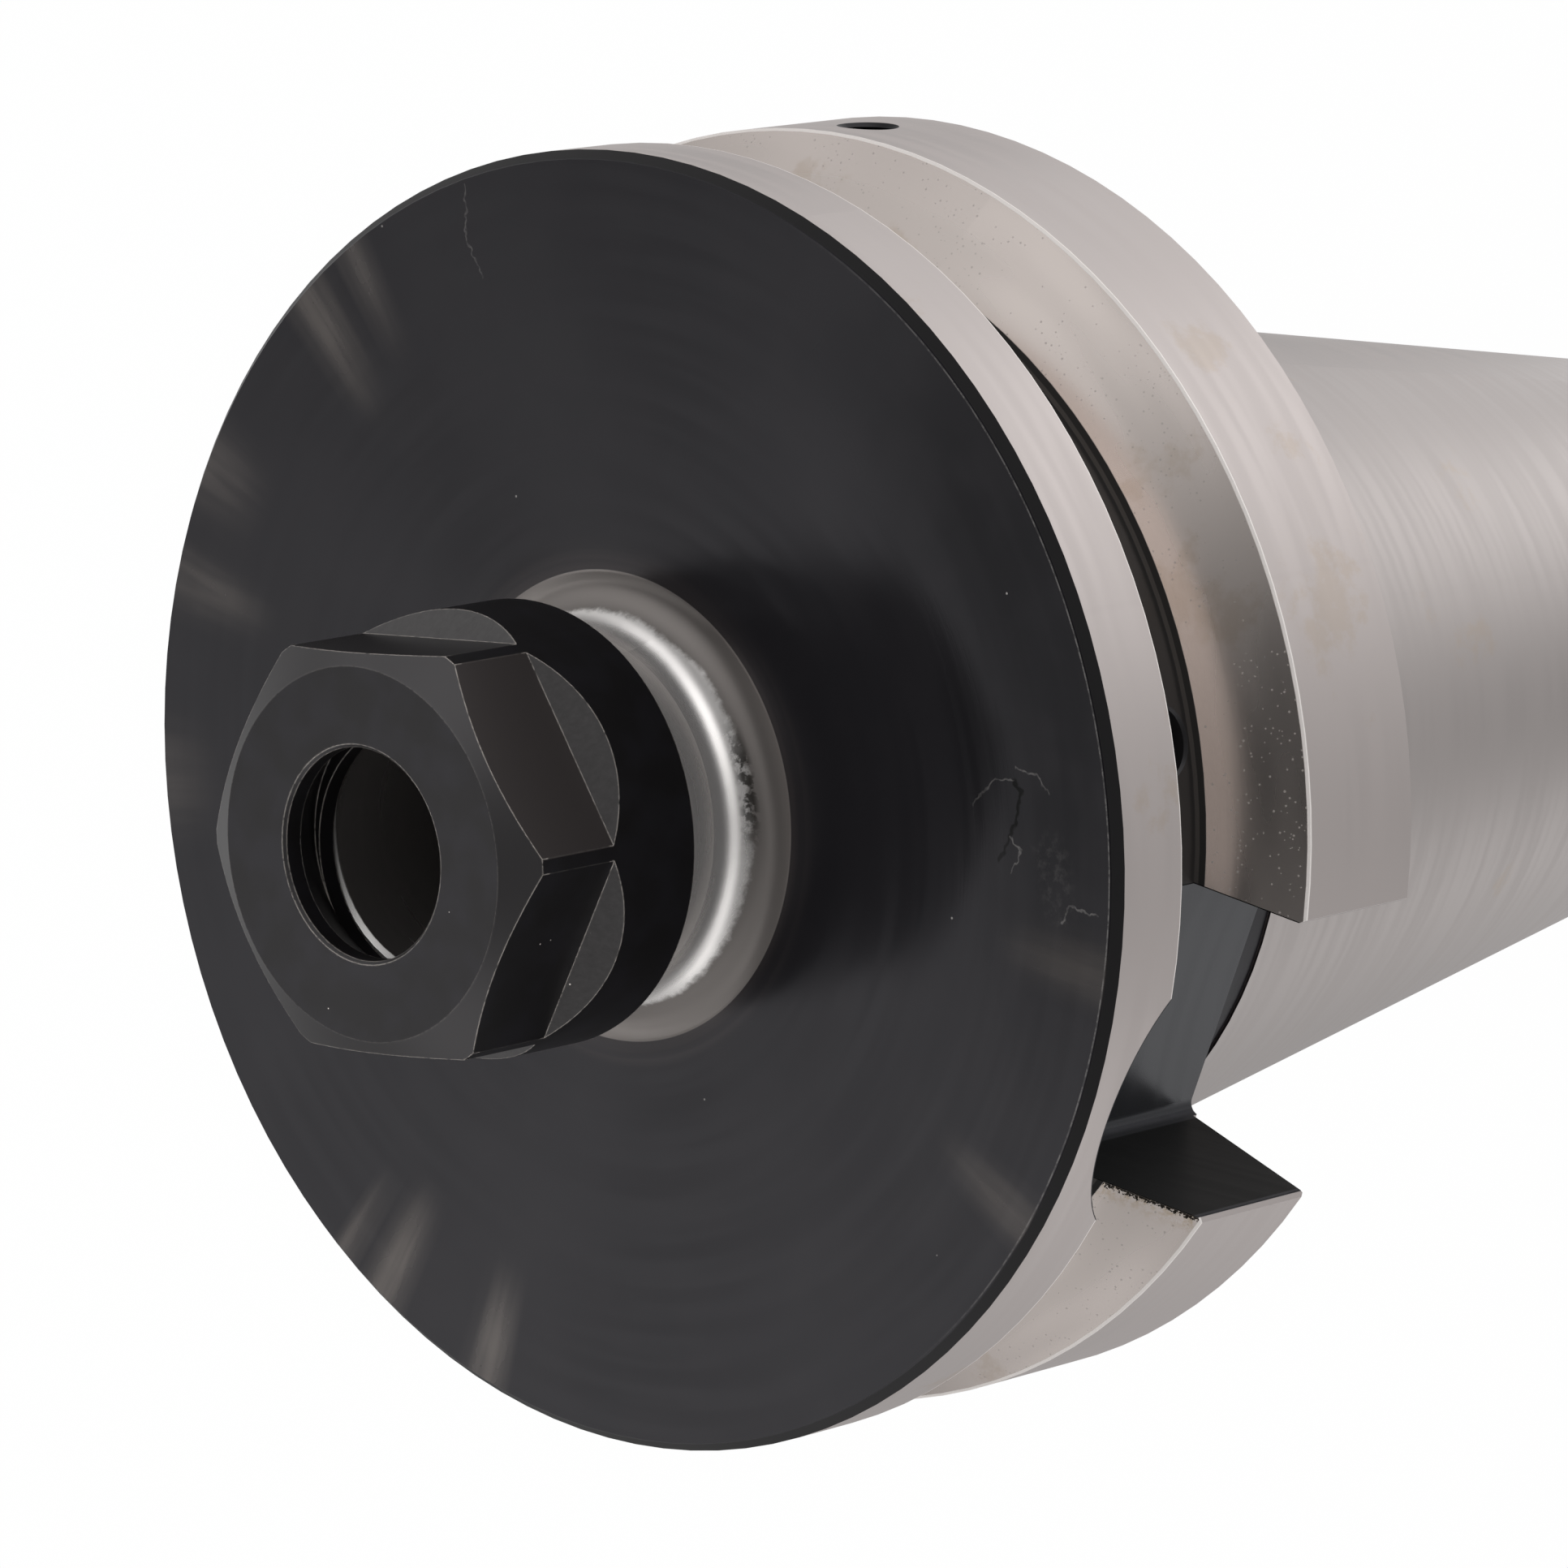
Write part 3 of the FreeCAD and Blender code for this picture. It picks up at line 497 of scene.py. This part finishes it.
# %% Holder material: marks of use
TAN_EDGE_END = 131.5
spots = n.group(spots_group, {"Cell mm": 0.45, "Clusters": 0.8, "Stain from": 0.60})
by_the_slot = n.ramp(n.math("ABSOLUTE", n.add(turn, 1.35)), 0.25, 0.75, 1.0, 0.45)
pits = n.times(in_groove, spots["Pits"], by_the_slot)
colour = n.colour(n.times(bright, spots["Stain"], 0.30), colour, (0.42, 0.33, 0.24, 1.0))
colour = n.colour(pits, colour, (0.30, 0.275, 0.255, 1.0))
metal = n.value(pits, metal, 0.1)
slot_edge = n.times(bright, n.above(n.math("ABSOLUTE", y), SLOT_FLOOR), n.below(x, 0.0),
                    n.band(z, GROOVE - GROOVE_TOP, TAN_EDGE_END))
tan_edge = n.times(slot_edge, n.ramp(slot_distance, 0.2, 2.2, 1.0, 0.0), n.ramp(patchy, 0.4, 0.65))
colour = n.colour(n.times(tan_edge, 0.55), colour, (0.40, 0.29, 0.16, 1.0))
chips = n.math("GREATER_THAN", n.noise(point, 4.0, 3.0, 0.7),
               n.ramp(slot_distance, 0.0, 0.9, 0.40, 0.72))
colour = n.colour(n.times(slot_edge, chips), colour, (0.02, 0.017, 0.014, 1.0))
print("holder material,", len(n.tree.nodes), "nodes so far")

# %% [markdown]
# Last, the turning marks: a fine bump, and a slow change of gloss from pass to pass. The
# shader is strongly anisotropic with its tangent round the axis, because a turned surface
# spreads its highlights across the marks.

# %% Holder material: turning marks and shader
rough = n.add(rough, n.ramp(marks["Passes"], 0.3, 0.7, -0.03, 0.03))
bump = n.node("Bump", {"Height": marks["Fine"], "Strength": 1.0,
                       "Distance": 0.0012 * MM}).outputs[0]
shader = n.node("BsdfPrincipled", {
    "Base Color": colour, "Roughness": rough, "Metallic": metal, "Specular IOR Level": 0.35,
    "Anisotropic": 0.9,
    "Tangent": n.node("Tangent", direction_type="RADIAL", axis="Z").outputs[0], "Normal": bump})
n.tree.links.new(shader.outputs[0], output.inputs["Surface"])
holder.material_slots[0].material = steel
print("material", steel.name)

# %% [markdown]
# The clamping nut is blackened all over. Its front face was turned and its flats milled. The two flats in
# view are painted lighter and a little brown, a painted sheen of the light they catch, and the chamfer
# and the sloped run-outs behind the flats are painted lighter than the rest, a painted sheen of the light
# from above, with milling marks on the run-outs. They are found by their height and by how much they face
# upward.

# %% Nut material: colours
black_steel, n, output = new_material("blackened nut")
place = n.group(place_group)
x, y, z, r = (place[axis] for axis in ("Across", "Along", "Height", "Radius"))
marks = n.group(marks_group, {"Per mm": 7.0})
wear = n.group(wear_group, {"Width mm": 0.15, "Amount": 0.56, "Patch size": 0.4})
facing_up = n.node("SeparateXYZ", {0: n.node("NewGeometry").outputs["Normal"]}).outputs[2]
front = n.times(n.above(z, NUT_FRONT - 0.03, 0.02), n.below(r, NUT_FACE + 0.1, 0.2))
chamfer = n.times(n.above(z, NUT_STEP + 1.0), n.band(facing_up, 0.7, 0.95, 0.02))
runout = n.times(n.below(z, NUT_STEP + 0.05), n.band(facing_up, 0.5, 0.9, 0.02))
cloudy = n.noise(place["Point"], 0.3, 3.0)
colour = n.colour(n.ramp(cloudy, 0.35, 0.7), (0.019, 0.0175, 0.0185, 1.0), (0.024, 0.0225, 0.026, 1.0))
# painted sheen: the two flats in view get a lighter, brownish colour for the light they catch
for flat_turn, lit_flat_colour in ((-34.95, (0.070, 0.061, 0.060, 1.0)), (25.05, (0.036, 0.033, 0.035, 1.0))):
    on_lit_flat = n.above(n.outward(x, y, flat_turn), NUT_FLAT - 0.04, 0.02)
    colour = n.colour(n.times(on_lit_flat, n.above(z, NUT_STEP + 0.05)), colour, lit_flat_colour)
# painted sheen: the upward-facing chamfer is painted lighter than the rest of the black nut
colour = n.colour(chamfer, colour, (0.060, 0.057, 0.059, 1.0))
# painted sheen with milling marks: the upward-facing run-outs are painted lighter, streaked by a milling
# noise
milled = n.noise(n.vector(n.times(x, 2.0), n.times(y, 2.0), n.times(z, 0.3)), 1.0, 4.0, 0.7)
runout_colour = n.colour(milled, (0.060, 0.057, 0.058, 1.0), (0.115, 0.110, 0.110, 1.0))
colour = n.colour(runout, colour, runout_colour)
print("nut material,", len(n.tree.nodes), "nodes so far")

# %% [markdown]
# The wear follows the edges, except where the photograph shows them black: the ring round the
# front face and the upright corners between the flats. Loose specks join it, and all of it is
# painted as bare steel.

# %% Nut material: wear and shader
CORNER_RADIUS = 16.9
face_ring = n.times(n.above(z, NUT_FRONT - 0.4), n.band(r, NUT_FACE - 0.5, NUT_FACE + 0.5))
corner = n.times(n.above(r, CORNER_RADIUS), n.band(z, NUT_STEP + 0.5, NUT_FRONT - 2.4))
kept_black = n.times(n.math("MAXIMUM", face_ring, corner), 0.85)
worn = n.times(wear["Mask"], n.math("SUBTRACT", 1.0, kept_black))
specks = n.node("TexVoronoi", {"Vector": place["Point"], "Scale": 0.45})
few = n.math("LESS_THAN", n.node("SeparateColor", {0: specks.outputs["Color"]}).outputs[0], 0.4)
worn = n.math("MAXIMUM", worn, n.times(few, n.below(specks.outputs["Distance"], 0.03, 0.01)))
colour = n.colour(worn, colour, (0.95, 0.87, 0.80, 1.0))
rough = n.value(worn, n.value(front, 0.33, 0.26), 0.42)
rounded = n.node("Bevel", {"Radius": 0.12 * MM}, samples=2).outputs[0]
bump = n.node("Bump", {"Height": marks["Fine"], "Strength": 1.0, "Distance": 0.001 * MM,
                       "Normal": rounded}).outputs[0]
shader = n.node("BsdfPrincipled", {
    "Base Color": colour, "Roughness": rough, "Metallic": n.value(worn, 0.55, 0.35),
    "Anisotropic": 0.5, "Tangent": n.node("Tangent", direction_type="RADIAL", axis="Z").outputs[0],
    "Normal": bump})
n.tree.links.new(shader.outputs[0], output.inputs["Surface"])
nut.material_slots[0].material = black_steel
print("material", black_steel.name)

# %% [markdown]
# The nut screws onto a fine thread, which the solid leaves out: there the nose stands at the
# thread's root. One turn of the real ridge climbs one pitch, so its outline is spun round the
# axis while it climbs. The nut has only its smooth bore here, because it turns without moving
# along the axis, and a second ridge would cut through this one.

# %% Thread on the nose
PITCH, CREST, THREAD_FOOT, THREAD_TOP, TURN_STEPS = 1.5, 12.4, 150.7, 159.3, 48
SUNK = 0.05
turns = (THREAD_TOP - THREAD_FOOT) / PITCH - 1.0
bm = bmesh.new()
outline = [bm.verts.new(Vector((out, 0.0, THREAD_FOOT + rise)) * MM) for out, rise in (
    (NOSE_ROOT - SUNK, 0.10), (CREST, 0.62), (CREST, 0.88), (NOSE_ROOT - SUNK, 1.40))]
edges = [bm.edges.new(pair) for pair in zip(outline, outline[1:] + outline[:1])]
steps = round(turns * TURN_STEPS)
spun = bmesh.ops.spin(bm, geom=outline + edges, cent=(0, 0, 0), axis=(0, 0, 1),
                      angle=math.tau * turns, dvec=(0, 0, PITCH * MM * turns / steps), steps=steps)
for end in (outline, [part for part in spun["geom_last"] if isinstance(part, bmesh.types.BMVert)]):
    bmesh.ops.contextual_create(bm, geom=end)
bmesh.ops.remove_doubles(bm, verts=bm.verts, dist=0.001 * MM)
bmesh.ops.recalc_face_normals(bm, faces=bm.faces)
open_edges = sum(edge.is_boundary for edge in bm.edges)


def new_piece(name, bm, material):
    """Turns a finished bmesh into an object at the origin, with its material."""
    mesh = bpy.data.meshes.new(name)
    bm.to_mesh(mesh)
    bm.free()
    mesh.materials.append(material)
    piece = bpy.data.objects.new(name, mesh)
    bpy.context.collection.objects.link(piece)
    return piece


thread = new_piece("nose_thread", bm, steel)
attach(thread, "holder")
print("nose thread,", len(thread.data.polygons), "faces,", open_edges, "open edges")

# %% [markdown]
# The photograph was cut out on white, but the metal still mirrors the room it stood in. The
# floor and the sky are therefore plain white to the camera, and to a mirror they show a ring
# of softboxes and darker gaps, which gives the bright and dark bands along the turned surfaces.
# The rows go once round the room: a direction in degrees, and how bright it is there.

# %% The room in the mirror
SURROUNDINGS = [
    (-180, 0.46), (-147, 0.72), (-118, 1.08), (-98, 0.72), (-80, 0.49), (-62, 0.57), (-45, 0.95),
    (-27, 1.55), (-5, 1.60), (13, 0.92), (33, 1.18), (55, 0.56), (90, 0.58), (150, 0.26), (180, 0.46)]


def surroundings(n, north, east):
    """How bright the room is all round, low down: softboxes on the right, darker behind."""
    rows = [(direction, *(strength,) * 3) for direction, strength in SURROUNDINGS]
    return n.round_ramp(n.math("ARCTAN2", north, east), rows)


def seen_straight(n):
    """1 for rays from the camera, from a mirror or through glass, and 0 for the light itself."""
    path = n.node("LightPath").outputs
    return n.math("MAXIMUM", n.math("MAXIMUM", path["Is Camera Ray"], path["Is Glossy Ray"]),
                  path["Is Transmission Ray"])


print("directions round the room:", len(SURROUNDINGS))

# %% [markdown]
# The floor is one big square that belongs to the stage, not to the part. To the camera it is
# almost white, to a mirror it shows the room, and to plain light it is pale paint, so it still
# throws light up from below.

# %% Floor
FLOOR_HALF, SHOWN_SHARE = 6.0, 0.985
floor_paint, n, output = new_material("pale floor")
paint = n.node("BsdfDiffuse", {"Color": (0.82, 0.82, 0.82, 1.0)})
east, north, _ = n.node("SeparateXYZ", {0: n.node("TexCoord").outputs["Object"]}).outputs
seen_in_metal = n.node("LightPath").outputs["Is Glossy Ray"]
white = n.node("Emission", {"Strength": 1.0})
room = n.node("Emission", {"Strength": surroundings(n, north, east)})
shown = n.node("MixShader", {0: seen_in_metal, 1: white.outputs[0], 2: room.outputs[0]})
mix = n.node("MixShader", {0: n.times(seen_straight(n), SHOWN_SHARE), 1: paint.outputs[0],
                           2: shown.outputs[0]})
n.tree.links.new(mix.outputs[0], output.inputs["Surface"])
bm = bmesh.new()
bmesh.ops.create_grid(bm, x_segments=1, y_segments=1, size=FLOOR_HALF)
floor = new_piece("floor", bm, floor_paint)
print("floor", 2 * FLOOR_HALF, "m across")

# %% [markdown]
# The sky repeats the ring low down and grows darker upward, with a few round softboxes and one
# dark patch in it. A row gives a patch's direction, the two angles between which it fades, and
# how bright it is. Plain light comes evenly from the whole sky.

# %% World
world = bpy.data.worlds.new("studio")
bpy.context.scene.world = world
world.use_nodes = True
world.node_tree.nodes.clear()
n = Nodes(world.node_tree)
direction = n.node("TexCoord").outputs["Generated"]


def toward(azimuth, elevation):
    """The direction at some degrees round from the X axis and some degrees up."""
    turn, rise = math.radians(azimuth), math.radians(elevation)
    return Vector((math.cos(rise) * math.cos(turn), math.cos(rise) * math.sin(turn), math.sin(rise)))


def patch(azimuth, elevation, inner, outer):
    """1 in a round patch of the sky, in degrees from its centre, fading to 0 at its outer edge."""
    cosine = n.node("VectorMath", {0: direction, 1: toward(azimuth, elevation)},
                    operation="DOT_PRODUCT").outputs[1]
    return n.ramp(cosine, math.cos(math.radians(outer)), math.cos(math.radians(inner)))


east, north, upward = n.node("SeparateXYZ", {0: direction}).outputs
lit = n.times(surroundings(n, north, east), n.ramp(upward, 0.12, 0.40, 1.0, 0.16))
for azimuth, elevation, inner, outer, strength in (
        (70, 34, 10, 22, 1.1), (42, 53, 20, 34, 0.55), (-172, 38, 12, 28, 0.9),
        (150, 44, 12, 27, 1.25), (-80, 62, 16, 34, 0.02)):
    lit = n.value(patch(azimuth, elevation, inner, outer), lit, strength)
path = n.node("LightPath").outputs
in_mirror = n.math("MAXIMUM", path["Is Glossy Ray"], path["Is Transmission Ray"])
even, room, white = (n.node("Background", {"Color": (1.0, 1.0, 1.0, 1.0), "Strength": strength})
                     for strength in (0.8, lit, 1.0))
mirrored = n.node("MixShader", {0: in_mirror, 1: even.outputs[0], 2: room.outputs[0]})
sky = n.node("MixShader", {0: path["Is Camera Ray"], 1: mirrored.outputs[0], 2: white.outputs[0]})
n.tree.links.new(sky.outputs[0], n.node("OutputWorld").inputs["Surface"])
print("world", world.name)

# %% [markdown]
# The lamps are weak, because the room itself gives most of the light. They add the soft sheen
# of a key light from above, a fill from the left, and three small windows. A line gives a
# lamp's direction in degrees, its width and height in metres and its power in watts.


# %% Lamps
LAMP_DISTANCE = 1.3


def softbox(name, azimuth, elevation, width, height, power):
    """An area lamp that looks at the flange, placed by its direction from there."""
    data = bpy.data.lights.new(name, "AREA")
    data.shape, data.size, data.size_y, data.energy = "RECTANGLE", width, height, power
    lamp = bpy.data.objects.new(name, data)
    bpy.context.collection.objects.link(lamp)
    aim, away = Vector((0, 0, GROOVE * MM)), toward(azimuth, elevation)
    lamp.matrix_world = Matrix.Translation(aim + away * LAMP_DISTANCE) @ away.to_track_quat(
        "Z", "Y").to_matrix().to_4x4()
    print("lamp", name, power, "W")


softbox("key", 38, 56, 0.8, 0.7, 1.0)
softbox("fill", -150, 12, 0.6, 0.5, 0.5)
softbox("window", 122, 14, 0.16, 0.16, 1.0)
softbox("upper window", 108, 31, 0.10, 0.10, 0.3)
softbox("lower window", 136, 18, 0.10, 0.10, 0.35)

# %% [markdown]
# Last, the view transform is set to Standard.

# %% Finish
bpy.context.scene.view_settings.view_transform = "Standard"
